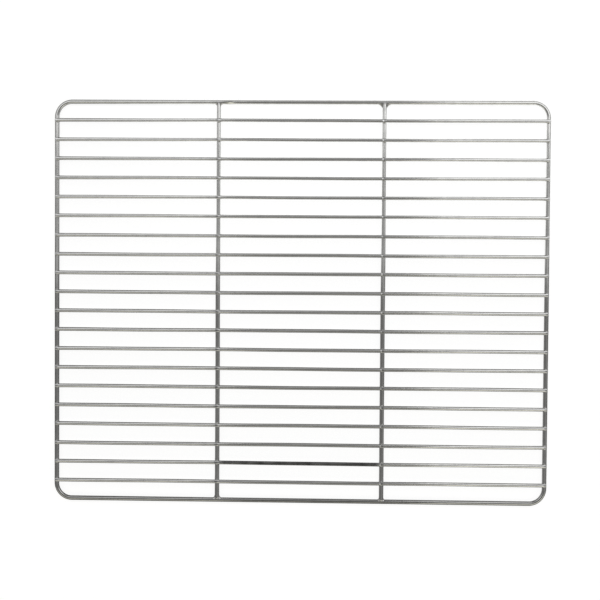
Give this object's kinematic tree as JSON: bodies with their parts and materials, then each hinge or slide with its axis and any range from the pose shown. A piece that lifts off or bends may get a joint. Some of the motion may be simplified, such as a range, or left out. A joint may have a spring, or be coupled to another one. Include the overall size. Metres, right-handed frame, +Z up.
{
  "type": "cooling rack",
  "caption": "Flat welded wire rack with a rounded rectangular frame, cross wires and close parallel grid wires, for cooling and carrying bakery goods.",
  "frame": {"origin": "on the surface the rack stands on, under the middle of the rack", "axes": "+X along the length and along the grid wires, +Y from front to rear along the cross wires, +Z up"},
  "size_m": [0.65, 0.53, 0.0105],
  "materials": {
    "frame_steel": "electropolished thick stainless wire, with faint drawing lines",
    "grid_steel": "electropolished thin stainless wire, with faint drawing lines and dull weld spots",
    "weld_metal": "electropolished fillet bead, rippled, with a trace of heat tint"
  },
  "bodies": {
    "root": {"frame_wire": "frame_steel", "cross_wire_left": "frame_steel", "cross_wire_right": "frame_steel", "grid_wire_01": "grid_steel", "grid_wire_02": "grid_steel", "grid_wire_03": "grid_steel", "grid_wire_04": "grid_steel", "grid_wire_05": "grid_steel", "grid_wire_06": "grid_steel", "grid_wire_07": "grid_steel", "grid_wire_08": "grid_steel", "grid_wire_09": "grid_steel", "grid_wire_10": "grid_steel", "grid_wire_11": "grid_steel", "grid_wire_12": "grid_steel", "grid_wire_13": "grid_steel", "grid_wire_14": "grid_steel", "grid_wire_15": "grid_steel", "grid_wire_16": "grid_steel", "grid_wire_17": "grid_steel", "grid_wire_18": "grid_steel", "grid_wire_19": "grid_steel", "grid_wire_20": "grid_steel", "weld_front_left_outer": "weld_metal", "weld_front_left_inner": "weld_metal", "weld_front_right_outer": "weld_metal", "weld_front_right_inner": "weld_metal", "weld_rear_left_outer": "weld_metal", "weld_rear_left_inner": "weld_metal", "weld_rear_right_outer": "weld_metal", "weld_rear_right_inner": "weld_metal"}
  },
  "joints": []
}
